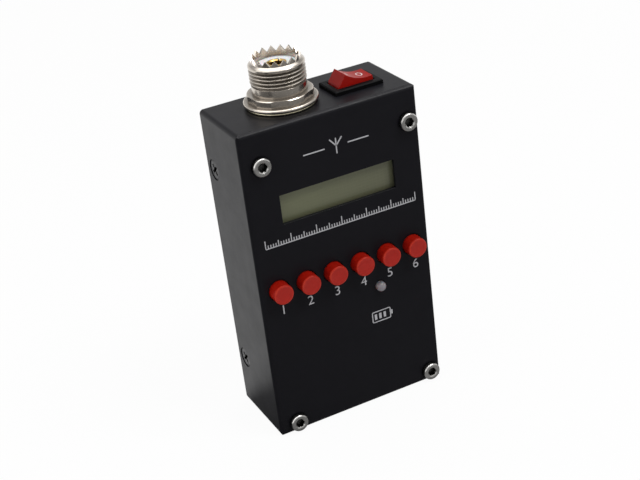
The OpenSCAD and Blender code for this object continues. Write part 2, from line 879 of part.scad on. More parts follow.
module socket_insulator() {
    color([0.93, 0.92, 0.93])
    on_socket() rotate_extrude()
        polygon([[cup_r, -rear_d], [rear_r, -rear_d], [rear_r, step_z], [insulator_r, step_z],
            [insulator_r, insulator_top], [contact_r, insulator_top],
            [contact_r, contact_low], [cup_r, contact_low]]);
}

// Slit sleeve above, solder cup below
module socket_contact() {
    color([0.85, 0.65, 0.25])
    on_socket()
        difference() {
            rotate_extrude()
                polygon([[0, contact_top - contact_bore_d],
                    [contact_bore_r, contact_top - contact_bore_d],
                    [contact_bore_r, contact_top - contact_bevel],
                    [contact_bore_r + contact_bevel, contact_top],
                    [contact_r, contact_top], [contact_r, contact_low], [cup_r, contact_low],
                    [cup_r, cup_low], [cup_bore_r, cup_low], [cup_bore_r, cup_low + cup_bore_d],
                    [0, cup_low + cup_bore_d]]);
            for (a = [0, 90])
                rotate([0, 0, a + 45]) translate([0, 0, contact_top - slit_d / 2 + 0.5])
                    cube([2 * contact_r + 1, slit_w, slit_d + 1], center = true);
        }
}

// Hexagon nut whose corners are turned down to a round
module socket_nut() {
    color([0.8, 0.78, 0.73])
    on_socket() translate([0, 0, nut_low])
        difference() {
            intersection() {
                rotate([0, 0, nut_turn]) cylinder(r = nut_af / sqrt(3), h = nut_t, $fn = 6);
                rotate_extrude()
                    polygon([[0, 0], [nut_r, 0], [nut_r, nut_t - nut_edge], [nut_r - nut_edge, nut_t],
                        [0, nut_t]]);
            }
            translate([0, 0, -1]) cylinder(r = seat_r + proud, h = nut_t + 2);
        }
}

// A flat ring from hole to rim with a soft outer edge
module ring(hole, rim, t) {
    soft = t * 0.4;
    rotate_extrude()
        polygon(concat([[hole, 0], [rim - soft, 0]], arc(rim - soft, soft, soft, -90, 0, 4),
            arc(rim - soft, t - soft, soft, 0, 90, 4), [[hole, t]]));
}

module socket_washer() {
    color([0.8, 0.79, 0.74])
    on_socket() translate([0, 0, lock_t]) ring(washer_hole_r, washer_r, washer_t);
}

module lock_washer() {
    color([0.72, 0.66, 0.42])
    on_socket() ring(washer_hole_r, washer_r - lock_inset, lock_t);
}

// Solder tag clamped between the case's top and the socket's flange
module earth_tag() {
    color([0.75, 0.74, 0.7])
    on_socket() translate([0, 0, flange_top])
        difference() {
            union() {
                cylinder(r = flange_r, h = tag_t);
                translate([-flange_r - tag_l, -tag_w / 2, 0]) cube([tag_l + 1, tag_w, tag_t]);
            }
            translate([0, 0, -1]) cylinder(r = washer_hole_r, h = tag_t + 2);
        }
}

module signal_lead() {
    color([0.85, 0.85, 0.85]) translate([0, 0, case_h]) tube(signal_route, lead_r);
}

module earth_lead() {
    color([0.1, 0.1, 0.1]) translate([0, 0, case_h]) tube(earth_route, lead_r);
}

// Housing: bezel, body with the rocker's well, pivot holes, and slots for the blades
module switch_housing() {
    color([0.07, 0.07, 0.07])
    on_switch() {
        translate([-fulcrum_w / 2, -lever_w / 2, switch_floor])
            cube([fulcrum_w, lever_w, lever_z - fulcrum_r - fulcrum_gap - switch_floor]);
        difference() {
            union() {
                intersection() {
                    translate([-bezel_l / 2, -bezel_w / 2, 0]) cube([bezel_l, bezel_w, bezel_h]);
                    rotate([90, 0, 0]) linear_extrude(bezel_w + 1, center = true)
                        bezel_outline(bezel_l);
                    rotate([90, 0, 90]) linear_extrude(bezel_l + 1, center = true)
                        bezel_outline(bezel_w);
                }
                translate([-switch_l / 2, -switch_w / 2, -switch_d]) cube([switch_l, switch_w, switch_d]);
            }
            translate([-window_l / 2, -slot_w / 2, switch_floor])
                cube([window_l, slot_w, bezel_h - switch_floor + 1]);
            translate([0, 0, pivot_h]) rotate([90, 0, 0])
                cylinder(r = pin_r + skin, h = slot_w + 2 * pin_l, center = true);
            for (s = [-1, 1])
                translate([s * blade_x - blade_w / 2, -blade_t / 2, -switch_d - 1])
                    cube([blade_w, blade_t, switch_d + 1 + switch_floor + proud]);
        }
    }
}

// Bezel in section: chamfered on its upper edges
module bezel_outline(w) {
    polygon([[-w / 2, 0], [w / 2, 0], [w / 2, bezel_h - chamfer], [w / 2 - chamfer, bezel_h],
        [-w / 2 + chamfer, bezel_h], [-w / 2, bezel_h - chamfer]]);
}

// Children are built about the rocker's pivot, level with the untilted rocker
module on_rocker() {
    translate([switch_x, switch_y, pivot_z]) rotate([0, rocker_tilt, 0]) children();
}

// Rocker with a hollowed face between two ridges, on two pivot pins
module switch_rocker() {
    hollow_r = (pow(ridge_x, 2) + pow(sag, 2)) / (2 * sag);
    hollow_a = asin(ridge_x / hollow_r);
    color([0.85, 0.12, 0.08])
    on_rocker()
        difference() {
            union() {
                rotate([90, 0, 0]) linear_extrude(rocker_w, center = true)
                    polygon(concat(
                        arc(0, ridge_z - sag + hollow_r, hollow_r, -90 + hollow_a, -90 - hollow_a, 16),
                        arc(0, 0, sweep_r, 173, 200, 5), [[-skirt_x, skirt_z], [skirt_x, skirt_z]],
                        arc(0, 0, sweep_r, -20, 7, 5)));
                rotate([90, 0, 0]) cylinder(r = pin_r, h = slot_w + 2 * pin_l - 2 * skin, center = true);
            }
            translate([0, 0, skirt_z - 1]) cylinder(r = plunger_r + skin, h = plunger_top - skirt_z + 1);
        }
}

// Round-nosed pin that presses on the lever
module rocker_plunger() {
    color([0.9, 0.9, 0.88])
    on_rocker() rotate_extrude()
        polygon(concat(arc(0, plunger_low + plunger_r, plunger_r, -90, 0, 8),
            [[plunger_r, plunger_top], [0, plunger_top]]));
}

// Seesaw contact, tilted against the rocker, with a half-round ridge on its axis
module switch_lever() {
    color([0.8, 0.55, 0.3])
    on_switch() translate([0, 0, lever_z]) {
        rotate([0, -lever_turn, 0])
            cube([lever_l, lever_w, lever_t], center = true);
        intersection() {
            rotate([90, 0, 0]) cylinder(r = fulcrum_r, h = lever_w, center = true);
            translate([-fulcrum_r, -lever_w / 2, -fulcrum_r])
                cube([2 * fulcrum_r, lever_w, fulcrum_r]);
        }
    }
}

// Two blades, each with a contact pad on the well's floor
module switch_terminals() {
    color([0.8, 0.8, 0.78])
    on_switch() {
        for (s = [-1, 1])
            translate([s * blade_x - blade_w / 2, -blade_t / 2, -switch_d - terminal_l])
                cube([blade_w, blade_t, terminal_l + switch_d + switch_floor]);
        for (s = [-1, 1])
            translate([s * blade_x - blade_w / 2, -lever_w / 2, switch_floor])
                cube([blade_w, lever_w, blade_head]);
    }
}

module switch_leads() {
    color([0.75, 0.1, 0.08])
    for (s = [-1, 1])
        translate([switch_x + s * blade_x, switch_y, case_h]) tube(switch_route, lead_r);
}

module battery_cell() {
    color([0.72, 0.73, 0.75])
    translate([0, cell_y + cell_t / 2, cell_z])
        linear_extrude(cell_h) rounded_rect(cell_w, cell_t, cell_r);
}

// Guard board on the cell's upper end
module cell_guard() {
    color([0.75, 0.6, 0.15])
    block(0, guard_y - guard_t / 2, cell_z + cell_h, guard_w, guard_t, guard_h);
}

module battery_tape() {
    color([0.9, 0.9, 0.88])
    block(0, cell_back, cell_z + tape_inset, cell_w - 2 * tape_inset, tape_t,
        cell_h - 2 * tape_inset);
}

module battery_plug() {
    color([0.93, 0.92, 0.88])
    block(plug_x, plug_y - plug_t / 2, plug_z, plug_w, plug_t, plug_h);
}

module battery_header() {
    color([0.93, 0.92, 0.88])
    block(plug_x, board_back, plug_z - header_h, header_w, header_t, header_h);
}

module battery_leads() {
    color([0.75, 0.1, 0.08])
    for (k = [0, 1])
        translate([0, 0, case_h] + k * battery_step) tube(battery_route, lead_r);
}

// Folded shell of the charging socket, open downward, filled by its moulding at the back
module usb_shell() {
    color([0.78, 0.78, 0.76])
    difference() {
        block(usb_x, board_back, usb_low, usb_w, usb_t, usb_d);
        block(usb_x, board_back + usb_wall, usb_low - 1, usb_w - 2 * usb_wall,
            usb_t - 2 * usb_wall, usb_d + 1 - usb_wall);
    }
}

module usb_tongue() {
    inner_w = usb_w - 2 * usb_wall;
    inner_t = usb_t - 2 * usb_wall;
    inner_top = usb_low + usb_d - usb_wall;
    color([0.08, 0.08, 0.08]) {
        block(usb_x, board_back + usb_wall, inner_top - usb_back_t, inner_w, inner_t, usb_back_t);
        block(usb_x, usb_y - tongue_t / 2, inner_top - usb_back_t - tongue_d, tongue_w, tongue_t,
            tongue_d + usb_back_t / 2);
    }
}

// A part on the board's rear face
module rear_part(p) {
    block(p[0], board_back, p[1] - p[3] / 2, p[2], p[4], p[3]);
}

module controller_chip() {
    color([0.08, 0.08, 0.08]) rear_part(controller_at);
}

module signal_chip() {
    color([0.08, 0.08, 0.08]) rear_part(signal_chip_at);
}

module charger_chip() {
    color([0.08, 0.08, 0.08]) rear_part(charger_at);
}

// A row of legs along a chip's upper and lower edges
module leg_rows(p) {
    n = floor((p[2] - 0.8) / leg_pitch);
    for (k = [0:n], s = [-1, 1])
        block(p[0] + (k - n / 2) * leg_pitch, board_back,
            p[1] + s * (p[3] + leg_l) / 2 - leg_l / 2, leg_w, leg_t, leg_l);
}

module chip_legs() {
    color([0.78, 0.78, 0.76]) {
        leg_rows(controller_at);
        leg_rows(signal_chip_at);
        leg_rows(charger_at);
    }
}

module clock_can() {
    color([0.8, 0.8, 0.78]) rear_part(clock_at);
}

module filter_coils() {
    color([0.25, 0.25, 0.27]) for (p = coils_at) rear_part(p);
}

module capacitors() {
    color([0.7, 0.6, 0.45]) for (p = capacitors_at) rear_part(p);
}

module resistors() {
    color([0.12, 0.12, 0.13]) for (p = resistors_at) rear_part(p);
}

front_shell();
rear_cover();
front_screws();
side_screws();
board_posts();
main_board();
lcd_frame();
lcd_glass();
lcd_light();
lcd_board();
lcd_header();
lcd_pins();
tact_bases();
tact_covers();
tact_domes();
tact_stem(0);  // tact_stem_1
tact_stem(1);  // tact_stem_2
tact_stem(2);  // tact_stem_3
tact_stem(3);  // tact_stem_4
tact_stem(4);  // tact_stem_5
tact_stem(5);  // tact_stem_6
button_cap(0);  // button_cap_1
button_cap(1);  // button_cap_2
button_cap(2);  // button_cap_3
button_cap(3);  // button_cap_4
button_cap(4);  // button_cap_5
button_cap(5);  // button_cap_6
charge_lamp();
lamp_leads();
socket_body();
socket_insulator();
socket_contact();
socket_nut();
socket_washer();
lock_washer();
earth_tag();
signal_lead();
earth_lead();
switch_housing();
switch_rocker();
rocker_plunger();
switch_lever();
switch_terminals();
switch_leads();
battery_cell();
cell_guard();
battery_tape();
battery_plug();
battery_header();
battery_leads();
usb_shell();
usb_tongue();
controller_chip();
signal_chip();
charger_chip();
chip_legs();
clock_can();
filter_coils();
capacitors();
resistors();
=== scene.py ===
"""Looks of a handheld antenna analyzer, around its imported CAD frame."""
import json
import math

import bmesh
import bpy
from mathutils import Matrix, Vector


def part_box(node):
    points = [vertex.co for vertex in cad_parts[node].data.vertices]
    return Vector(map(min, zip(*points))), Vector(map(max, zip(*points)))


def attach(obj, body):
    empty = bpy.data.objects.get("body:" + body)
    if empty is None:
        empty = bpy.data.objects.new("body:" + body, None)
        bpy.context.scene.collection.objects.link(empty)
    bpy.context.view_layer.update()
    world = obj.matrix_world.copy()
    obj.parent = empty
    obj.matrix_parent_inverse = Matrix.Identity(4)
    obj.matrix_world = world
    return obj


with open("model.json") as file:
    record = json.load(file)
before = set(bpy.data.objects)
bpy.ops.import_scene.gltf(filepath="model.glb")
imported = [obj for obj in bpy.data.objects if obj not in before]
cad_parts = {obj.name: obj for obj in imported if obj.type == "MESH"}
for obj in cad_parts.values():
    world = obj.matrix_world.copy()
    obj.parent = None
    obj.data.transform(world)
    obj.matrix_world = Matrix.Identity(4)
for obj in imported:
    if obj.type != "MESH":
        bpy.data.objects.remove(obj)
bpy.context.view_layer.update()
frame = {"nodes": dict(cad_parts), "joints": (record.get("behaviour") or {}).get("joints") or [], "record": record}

bpy.context.scene.view_settings.view_transform = "Standard"

MM = 0.001
NODES = frame["nodes"]
ROOT = "case"


# ---------------------------------------------------------------- camera

PHOTO_W = 640       # pixels
FOCAL_PX = 1342.6   # focal length in the photo's pixels
SENSOR = 36.0
NEAREST = 0.01
CAMERA_AT = Vector((-0.1429, -0.3207, 0.23065))
CAMERA_LOOK = Vector((0.359, 0.815, -0.454)).normalized()
CAMERA_UP = Vector((0.299, 0.360, 0.884))


def make_camera():
    """The photograph's camera: place, direction, roll and focal length."""
    data = bpy.data.cameras.new("camera")
    data.sensor_width = SENSOR
    data.lens = FOCAL_PX * SENSOR / PHOTO_W
    data.clip_start = NEAREST
    right = CAMERA_LOOK.cross(CAMERA_UP).normalized()
    up = right.cross(CAMERA_LOOK)
    turn = Matrix((right, up, -CAMERA_LOOK)).transposed().to_4x4()
    camera = bpy.data.objects.new("camera", data)
    camera.matrix_world = Matrix.Translation(CAMERA_AT) @ turn
    bpy.context.scene.collection.objects.link(camera)
    bpy.context.scene.camera = camera


make_camera()


# ---------------------------------------------------------------- node tools

WHITE = (1, 1, 1, 1)


def feed(tree, socket, value):
    """Link a socket to a value that is a socket, or set it to a constant."""
    if isinstance(value, bpy.types.NodeSocket):
        tree.links.new(value, socket)
    else:
        socket.default_value = value


def add_node(tree, kind, inputs=None, **settings):
    """A node with its settings, then its inputs fed by name or number."""
    made = tree.nodes.new(kind)
    for key, value in settings.items():
        setattr(made, key, value)
    for key, value in (inputs or {}).items():
        feed(tree, made.inputs[key], value)
    return made


def opaque(value):
    """A colour tuple with its alpha; a socket as it is."""
    if isinstance(value, tuple) and len(value) == 3:
        return (*value, 1.0)
    return value


def shade(colour, factor):
    return tuple(c * factor for c in colour)


# ---------------------------------------------------------------- material tools

NOISE_LOW, NOISE_HIGH = 0.3, 0.7  # nearly all of a noise lies between these
BEVEL_SAMPLES = 4
SHELTER_SAMPLES = 6


class Surface:
    """A Principled material, with short calls for the nodes that detail it.

    Patterns read object coordinates, counted in millimetres.
    """

    def __init__(self, name, roughness=0.5, **constants):
        self.name = name
        self.material = bpy.data.materials.new(name)
        self.material.use_nodes = True
        self.tree = self.material.node_tree
        self.shader = self.tree.nodes["Principled BSDF"]
        self.shader.inputs["Roughness"].default_value = roughness
        for socket, value in constants.items():
            self.shader.inputs[socket.replace("_", " ")].default_value = value
        place = self.node("ShaderNodeTexCoord").outputs["Object"]
        self.place = self.vector("MULTIPLY", place, (1 / MM, 1 / MM, 1 / MM))

    def node(self, kind, inputs=None, **settings):
        return add_node(self.tree, kind, inputs, **settings)

    def set(self, socket, value):
        feed(self.tree, self.shader.inputs[socket], value)
        return self

    def vector(self, operation, a, b):
        made = self.node("ShaderNodeVectorMath", {0: a, 1: b}, operation=operation)
        return made.outputs["Value" if operation == "DOT_PRODUCT" else "Vector"]

    def math(self, operation, a, b, clamp=False):
        made = self.node("ShaderNodeMath", {0: a, 1: b}, operation=operation, use_clamp=clamp)
        return made.outputs[0]

    def normal(self):
        return self.node("ShaderNodeNewGeometry").outputs["Normal"]

    def noise(self, size, detail, stretch=(1, 1, 1), warp=0.0):
        """Noise from 0 to 1, whose blots are about size mm wide."""
        scale = tuple(1 / (size * s) for s in stretch)
        place = self.vector("MULTIPLY", self.place, scale)
        made = self.node("ShaderNodeTexNoise", {
            "Vector": place, "Scale": 1.0, "Detail": detail, "Distortion": warp})
        return made.outputs["Fac"]

    def between(self, value, low, high, start=NOISE_LOW, end=NOISE_HIGH):
        """value, from start to end, as low to high."""
        made = self.node("ShaderNodeMapRange", {
            "Value": value, "From Min": start, "From Max": end, "To Min": low, "To Max": high})
        return made.outputs["Result"]

    def mix(self, share, a, b):
        made = self.node("ShaderNodeMix", {"Factor": share, "A": opaque(a), "B": opaque(b)},
                         data_type="RGBA")
        return made.outputs["Result"]

    def soft_edges(self, radius):
        """Normal with hard edges rounded by radius mm."""
        made = self.node("ShaderNodeBevel", {"Radius": radius * MM}, samples=BEVEL_SAMPLES)
        return made.outputs["Normal"]

    def edge(self, radius, sharpness=6.0):
        """1 on edges and 0 on open faces, where radius mm is the width of the edge band."""
        likeness = self.vector("DOT_PRODUCT", self.soft_edges(radius), self.normal())
        return self.math("MULTIPLY", self.math("SUBTRACT", 1.0, likeness), sharpness, clamp=True)

    def shelter(self, reach, low, high):
        """1 deep in a recess and 0 in the open, looking reach mm around."""
        made = self.node("ShaderNodeAmbientOcclusion", {"Distance": reach * MM},
                         samples=SHELTER_SAMPLES)
        return self.between(made.outputs["AO"], 1.0, 0.0, low, high)

    def colour(self, value):
        return self.set("Base Color", opaque(value))

    def rough(self, value):
        return self.set("Roughness", value)

    def bump(self, height, depth, radius=0.0):
        """Bump of depth mm, over edges rounded by radius mm."""
        made = self.node("ShaderNodeBump", {"Height": height, "Distance": depth * MM})
        if radius:
            feed(self.tree, made.inputs["Normal"], self.soft_edges(radius))
        return self.set("Normal", made.outputs["Normal"])


# ---------------------------------------------------------------- materials

COAT_SHINE = 0.13  # specular level in the open; painted shade takes it out of inner corners
CORNER_REACH = 0.6
RUBBED_PAINT = (0.06, 0.06, 0.063)
PEEL_DEPTH = 0.013


def powder_coat(name, colour):
    """Satin powder coat: fine orange peel, painted shade in inner corners and rubbed edges."""
    s = Surface(name)
    # painted shade: the gloss fades out in sheltered corners
    corner_shade = s.shelter(CORNER_REACH, low=0.55, high=0.95)
    s.set("Specular IOR Level", s.between(corner_shade, COAT_SHINE, 0.0, start=0.0, end=1.0))
    base = s.mix(s.noise(9.0, detail=4.0), shade(colour, 0.9), shade(colour, 1.12))
    patches = s.between(s.noise(1.6, detail=5.0), 0.0, 0.35)
    wear_and_rim_highlight = s.math("MULTIPLY", s.edge(radius=0.25), patches)
    s.colour(s.mix(wear_and_rim_highlight, base, RUBBED_PAINT))
    s.rough(s.between(s.noise(5.0, detail=5.0), 0.32, 0.38))
    grains = s.math("MULTIPLY", s.noise(0.16, detail=1.0), 0.35)
    peel = s.math("ADD", s.noise(0.5, detail=2.0), grains)
    return s.bump(peel, PEEL_DEPTH, radius=0.2)


RECESS_REACH = 2.0
LINE_DEPTH = 0.006


def metal(name, colour, roughness, line_size=0.25, line_axis=(1, 1, 1), radius=0.08,
          deep=0.08, recess=(0.45, 0.9)):
    """Bare or plated metal: machining lines, smears, and painted shade in recesses, to deep."""
    s = Surface(name, Metallic=1.0)
    smears = s.noise(2.2, detail=5.0, warp=0.6)
    base = s.mix(smears, shade(colour, 0.86), shade(colour, 1.08))
    # painted shade: recesses darken towards deep times the colour
    s.colour(s.mix(s.shelter(RECESS_REACH, *recess), base, shade(colour, deep)))
    s.rough(s.between(smears, roughness * 0.75, roughness * 1.35))
    return s.bump(s.noise(line_size, detail=3.0, stretch=line_axis), LINE_DEPTH, radius)


def plastic(name, colour, roughness, grain=0.2, depth=0.004, **constants):
    """Moulded plastic: a fine skin, faint flow marks, softened edges with painted highlights."""
    s = Surface(name, **constants)
    flow = s.noise(3.0, detail=4.0, warp=0.8)
    # painted highlight: edges a little paler than the faces
    edge_highlight = s.math("MULTIPLY", s.edge(radius=0.2), 0.25)
    base = s.mix(flow, shade(colour, 0.9), shade(colour, 1.08))
    s.colour(s.mix(edge_highlight, base, tuple(min(1.0, c * 1.2 + 0.04) for c in colour)))
    s.rough(s.between(s.noise(0.8, detail=5.0), roughness * 0.85, roughness * 1.2))
    return s.bump(s.noise(grain, detail=2.0), depth, radius=0.12)


FRONTWARD = (0.0, -1.0, 0.0)
FACE_FROM, FACE_TO = 0.6, 0.95  # how squarely the flat of a cap looks to the front
RED_GLOW = {"Subsurface_Weight": 0.1, "Subsurface_Scale": 0.8 * MM}


def cap_plastic(name, colour, lit_face_colour, rim_highlight_colour):
    """Button plastic: a mottled face painted lighter as if lit, and a painted rim highlight."""
    s = Surface(name, Specular_IOR_Level=0.14, **RED_GLOW)
    # painted light: the face toward the front is paler, as if lit
    frontness = s.vector("DOT_PRODUCT", s.normal(), FRONTWARD)
    facing = s.between(frontness, 0.0, 1.0, FACE_FROM, FACE_TO)
    face = s.mix(s.noise(0.7, detail=4.0), shade(lit_face_colour, 0.85), shade(lit_face_colour, 1.15))
    # painted highlight: a bright rim along the face's edge, in patches
    patches = s.between(s.noise(1.1, detail=4.0), 0.4, 0.9)
    wear_and_rim_highlight = s.math("MULTIPLY", s.edge(radius=0.45, sharpness=14.0), patches)
    s.colour(s.mix(wear_and_rim_highlight, s.mix(facing, colour, face), rim_highlight_colour))
    s.rough(s.between(s.noise(0.8, detail=5.0), 0.34, 0.46))
    return s.bump(s.noise(0.25, detail=2.0), 0.006, radius=0.12)


# painted light: the display is lighter at the left and darker to the right
LCD_LIT_LEFT = (0.143, 0.151, 0.084)
LCD_SHADED_RIGHT = (0.106, 0.108, 0.065)
LCD_GAP = (0.155, 0.163, 0.1)       # between the cells
LCD_GAP_SHARE = 0.15
LCD_CELLS_PER_MM = (0.42, 0.26, 1.0)


def display_glass(name):
    """Unpowered reflective display: olive layer, faint dot cells, glossy front."""
    s = Surface(name, Coat_Weight=1.0, Coat_Roughness=0.06, Specular_IOR_Level=0.3)
    low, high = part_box("lcd_glass")
    split = s.node("ShaderNodeSeparateXYZ", {0: s.place}).outputs
    # painted light: colour fades from the lit left to the darker right
    across = s.between(split["X"], 0.0, 1.0, low.x / MM, high.x / MM)
    base = s.mix(across, LCD_LIT_LEFT, LCD_SHADED_RIGHT)
    flat = s.node("ShaderNodeCombineXYZ", {0: split["X"], 1: split["Z"]}).outputs[0]
    from_corner = s.vector("ADD", flat, (-low.x / MM, -low.z / MM, 0))
    cells = s.node("ShaderNodeTexBrick", {
        "Vector": s.vector("MULTIPLY", from_corner, LCD_CELLS_PER_MM),
        "Scale": 1.0, "Mortar Size": 0.06, "Mortar Smooth": 0.3}, offset=0.0)
    gaps = s.math("MULTIPLY", cells.outputs["Fac"], LCD_GAP_SHARE)
    s.colour(s.mix(gaps, base, LCD_GAP))
    s.rough(s.between(s.noise(5.0, detail=3.0), 0.34, 0.44))
    return s.bump(s.noise(0.12, detail=1.0), 0.002)


MASK_GREEN = (0.012, 0.11, 0.03)
TRACK_GREEN = (0.03, 0.2, 0.06)
TRACKS_PER_MM = (0.5, 0.5, 0.5)


def circuit_board(name):
    """Green solder mask over a maze of copper tracks."""
    s = Surface(name, Coat_Weight=0.4, Coat_Roughness=0.15)
    maze = s.node("ShaderNodeTexVoronoi", {
        "Vector": s.vector("MULTIPLY", s.place, TRACKS_PER_MM), "Scale": 1.0},
        feature="DISTANCE_TO_EDGE", distance="CHEBYCHEV")
    tracks = s.between(maze.outputs["Distance"], 1.0, 0.0, start=0.03, end=0.07)
    s.colour(s.mix(tracks, MASK_GREEN, TRACK_GREEN))
    s.rough(s.between(s.noise(1.5, detail=4.0), 0.28, 0.42))
    return s.bump(tracks, 0.03, radius=0.1)


def foam_tape(name, colour):
    """Foam tape: an open, grainy skin."""
    s = Surface(name, roughness=0.9, Sheen_Weight=0.3)
    s.colour(s.mix(s.noise(0.4, detail=4.0), shade(colour, 0.8), colour))
    return s.bump(s.noise(0.3, detail=4.0), 0.08)


CAP_RED = (0.34, 0.007, 0.002)
# painted light: the paler lit face and the highlit rim of the caps
CAP_LIT_FACE_RED = (0.36, 0.018, 0.012)
CAP_RIM_HIGHLIGHT_RED = (0.72, 0.075, 0.035)
ROCKER_RED = (0.33, 0.007, 0.004)
TURNED = (30, 30, 1)  # stretch of the lines that a lathe leaves

# The materials of the CAD nodes, named as their slots
SURFACES = {surface.name: surface for surface in (
    powder_coat("case_paint", (0.0074, 0.0072, 0.0094)),
    powder_coat("cover_paint", (0.008, 0.0078, 0.0098)),
    metal("bright_steel", (0.6, 0.59, 0.57), 0.24, deep=0.03, recess=(0.6, 0.95)),
    metal("black_steel", (0.05, 0.05, 0.052), 0.38, deep=0.01, recess=(0.6, 0.97)),
    metal("post_metal", (0.66, 0.62, 0.5), 0.3),
    circuit_board("board_green"),
    display_glass("display_glass"),
    plastic("white_plastic", (0.82, 0.82, 0.78), 0.5),
    plastic("black_plastic", (0.0045, 0.0045, 0.005), 0.4, Specular_IOR_Level=0.04),
    metal("plated_pin", (0.8, 0.6, 0.28), 0.25),
    metal("spring_steel", (0.72, 0.72, 0.71), 0.3),
    cap_plastic("red_cap", CAP_RED, CAP_LIT_FACE_RED, CAP_RIM_HIGHLIGHT_RED),
    plastic("lamp_lens", (0.25, 0.235, 0.25), 0.16,
            Subsurface_Weight=0.4, Subsurface_Scale=1.0 * MM),
    metal("nickel", (0.66, 0.6, 0.53), 0.2, line_size=0.12, line_axis=TURNED, radius=0.1,
          deep=0.35),
    metal("brassy_nickel", (0.76, 0.7, 0.5), 0.22, deep=0.9),
    plastic("insulator_white", (0.86, 0.85, 0.88), 0.45,
            Subsurface_Weight=0.3, Subsurface_Scale=2.0 * MM),
    metal("gilt", (0.62, 0.42, 0.14), 0.28, radius=0.05),
    plastic("clear_sleeve", (0.75, 0.75, 0.73), 0.4),
    plastic("black_sleeve", (0.02, 0.02, 0.02), 0.42),
    plastic("red_sleeve", (0.5, 0.02, 0.015), 0.42),
    plastic("rocker_red", ROCKER_RED, 0.36, Specular_IOR_Level=0.11, **RED_GLOW),
    metal("copper", (0.8, 0.42, 0.24), 0.3),
    metal("cell_wrap", (0.62, 0.63, 0.66), 0.35, line_size=1.2),
    plastic("guard_tape", (0.6, 0.36, 0.05), 0.3),
    foam_tape("foam", (0.8, 0.8, 0.76)),
    plastic("ivory_plastic", (0.78, 0.74, 0.62), 0.45),
    plastic("chip_body", (0.016, 0.016, 0.017), 0.55, grain=0.15, depth=0.01),
    plastic("part_dark", (0.05, 0.05, 0.055), 0.5, grain=0.15, depth=0.01),
    plastic("part_tan", (0.42, 0.3, 0.17), 0.5),
)}
PRINT_GREY = plastic("print_grey", (0.42, 0.42, 0.44), 0.5, grain=0.1, depth=0.003)
MARK_WHITE = plastic("mark_white", (0.8, 0.78, 0.78), 0.4, grain=0.1, depth=0.003)

for part in frame["record"]["subparts"]:
    for material_slot in NODES[part["node"]].material_slots:
        material_slot.material = SURFACES[part["material_slot"]].material


# ---------------------------------------------------------------- mesh tools

def middle_of(node):
    low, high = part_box(node)
    return (low + high) / 2


def mesh_from(bm, name):
    bmesh.ops.recalc_face_normals(bm, faces=bm.faces)
    mesh = bpy.data.meshes.new(name)
    bm.to_mesh(mesh)
    bm.free()
    return mesh


def add_piece(name, mesh, surface, body):
    mesh.materials.append(surface.material)
    piece = bpy.data.objects.new(name, mesh)
    bpy.context.scene.collection.objects.link(piece)
    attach(piece, body)


def add_band(bm, rows, closed=False):
    """Faces of a flat band; each row has the four corners of a cross section."""
    for a, b in zip(rows, rows[1:] + rows[:1] if closed else rows[1:]):
        for m, n in ((0, 2), (2, 3), (3, 1), (1, 0)):
            bm.faces.new((a[m], a[n], b[n], b[m]))
    if not closed:
        for row in (rows[0], rows[-1]):
            bm.faces.new((row[0], row[1], row[3], row[2]))


# ---------------------------------------------------------------- printed marks

INK = 0.03 * MM       # thickness of the print on the case
INK_SINK = 0.01 * MM  # how far it reaches into the paint
front_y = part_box("front_shell")[0].y


def add_stroke(bm, points, width, closed=False):
    """A flat printed line on the front face through (x, z) points, in metres."""
    count = len(points)
    sides = []
    for i, point in enumerate(points):
        if closed:
            before, after = points[i - 1], points[(i + 1) % count]
        else:
            before, after = points[max(i - 1, 0)], points[min(i + 1, count - 1)]
        run = (Vector(after) - Vector(before)).normalized()
        across = Vector((-run.y, run.x)) * width / 2
        sides.append((Vector(point) + across, Vector(point) - across))
    add_band(bm, [[bm.verts.new((p.x, y, p.y)) for p in pair
                   for y in (front_y - INK, front_y + INK_SINK)] for pair in sides], closed)


def add_print(bm, name):
    add_piece(name, mesh_from(bm, name), PRINT_GREY, ROOT)


def arc(x, z, radius, start, end, steps):
    """Points of an arc about (x, z), in metres and degrees."""
    turns = [math.radians(start + (end - start) * i / steps) for i in range(steps + 1)]
    return [(x + radius * math.cos(t), z + radius * math.sin(t)) for t in turns]


BUTTONS = 6
NUMERAL_H = 2.9 * MM
DIGIT_SHARE = 0.7         # height of a digit, as a share of the font's size
NUMERAL_DROP = 6.6 * MM   # from a cap's middle down to the numeral's middle
NUMERAL_SHIFT = 0.5 * MM


def add_numeral(number):
    """The numeral under one button cap."""
    cap = middle_of(f"button_cap_{number}")
    text = bpy.data.curves.new(f"text_{number}", "FONT")
    text.body = str(number)
    text.size = NUMERAL_H / DIGIT_SHARE
    text.align_x = "CENTER"
    text.align_y = "CENTER"
    text.extrude = (INK + INK_SINK) / 2
    holder = bpy.data.objects.new(f"holder_{number}", text)
    bpy.context.scene.collection.objects.link(holder)
    mesh = bpy.data.meshes.new_from_object(
        holder.evaluated_get(bpy.context.evaluated_depsgraph_get()))
    bpy.data.objects.remove(holder)
    place = Vector((cap.x + NUMERAL_SHIFT, front_y - (INK - INK_SINK) / 2, cap.z - NUMERAL_DROP))
    mesh.transform(Matrix.Translation(place) @ Matrix.Rotation(math.pi / 2, 4, "X"))
    mesh.materials.clear()
    add_piece(f"numeral_{number}", mesh, PRINT_GREY, ROOT)


SIGN_SHIFT = 0.8 * MM
SIGN_RISE = 13.8 * MM  # from the display's middle up to the aerial sign
SIGN_H = 4.6 * MM
SIGN_ARM = 0.42        # reach of an arm, as a share of the sign's height
SIGN_LINE = 0.38 * MM
SIGN_RULE_FROM, SIGN_RULE_TO = 3.6 * MM, 10.2 * MM  # from the sign's middle


